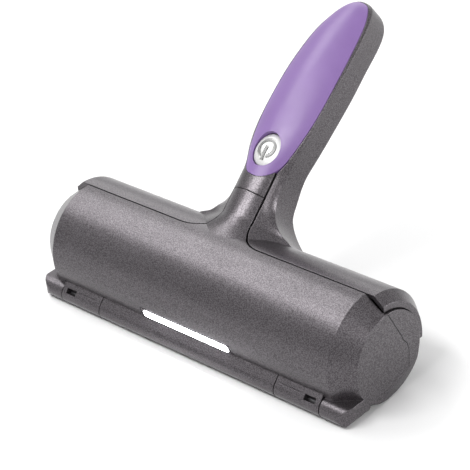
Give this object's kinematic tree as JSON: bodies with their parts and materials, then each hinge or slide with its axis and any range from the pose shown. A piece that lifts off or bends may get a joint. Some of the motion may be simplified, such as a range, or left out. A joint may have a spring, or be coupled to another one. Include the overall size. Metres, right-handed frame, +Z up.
{
  "type": "pet hair removal brush",
  "caption": "Roller-type pet hair brush: a wide round head with a rocking nap drum and a hinged front lid, on a leaning handle with a soft grip and a push button.",
  "frame": {"origin": "on the surface it stands on, at the middle of its width and depth", "axes": "+X along the head, towards its right end seen from the front; -Y is the front, where the lid is; +Z up; the handle leans back towards +Y"},
  "size_m": [0.19, 0.1464, 0.1222],
  "materials": {
    "body": "satin gunmetal lacquer",
    "grip": "satin",
    "button": "silver lacquer",
    "dark_plastic": "moulded",
    "bush": "moulded nylon",
    "nap": "short directional pile",
    "steel": "bright zinc",
    "board": "solder mask",
    "cell": "plastic sleeve",
    "lamp": "lamp body",
    "lens": "frosted, lit from behind"
  },
  "bodies": {
    "body": {"rear_shell": "body", "neck_plate": "body", "bar_middle": "body", "knuckle_right": "body", "knuckle_left": "body", "grip": "grip", "latch_spring": "steel", "switch_board": "board", "switch_can": "dark_plastic", "cell": "cell", "base_frame": "body", "lens": "lens", "lamp_board": "board", "lamps": "lamp", "hinge_pin_right": "steel", "hinge_pin_left": "steel", "bush_right": "bush", "bush_left": "bush", "strip_front": "nap", "strip_rear": "nap", "screw_1": "steel", "screw_2": "steel", "screw_3": "steel", "screw_4": "steel"},
    "lid": {"lid": "body"},
    "button": {"button": "button"},
    "latch": {"latch": "dark_plastic"},
    "drum": {"drum": "dark_plastic", "nap_lower": "nap", "nap_upper": "nap"}
  },
  "joints": [
    {"name": "lid_hinge", "type": "hinge", "parent": "body", "child": "lid", "pos_m": [0, -0.06834, 0.00522], "axis": [1, 0, 0], "range_deg": [0, 85]},
    {"name": "button_press", "type": "slide", "parent": "body", "child": "button", "axis": [0, 0.6252, -0.7804], "range_m": [0, 0.0022], "stiffness_N_per_m": 700, "springref_m": -0.0012},
    {"name": "latch_slide", "type": "slide", "parent": "body", "child": "latch", "axis": [0, 0.7804, 0.6252], "range_m": [0, 0.0022]},
    {"name": "drum_rock", "type": "hinge", "parent": "body", "child": "drum", "pos_m": [0, -0.04441, 0.0153], "axis": [1, 0, 0], "range_deg": [-30, 30]}
  ],
  "couplings": [
    {"joint": "latch_slide", "follows": "button_press", "ratio": 1}
  ]
}
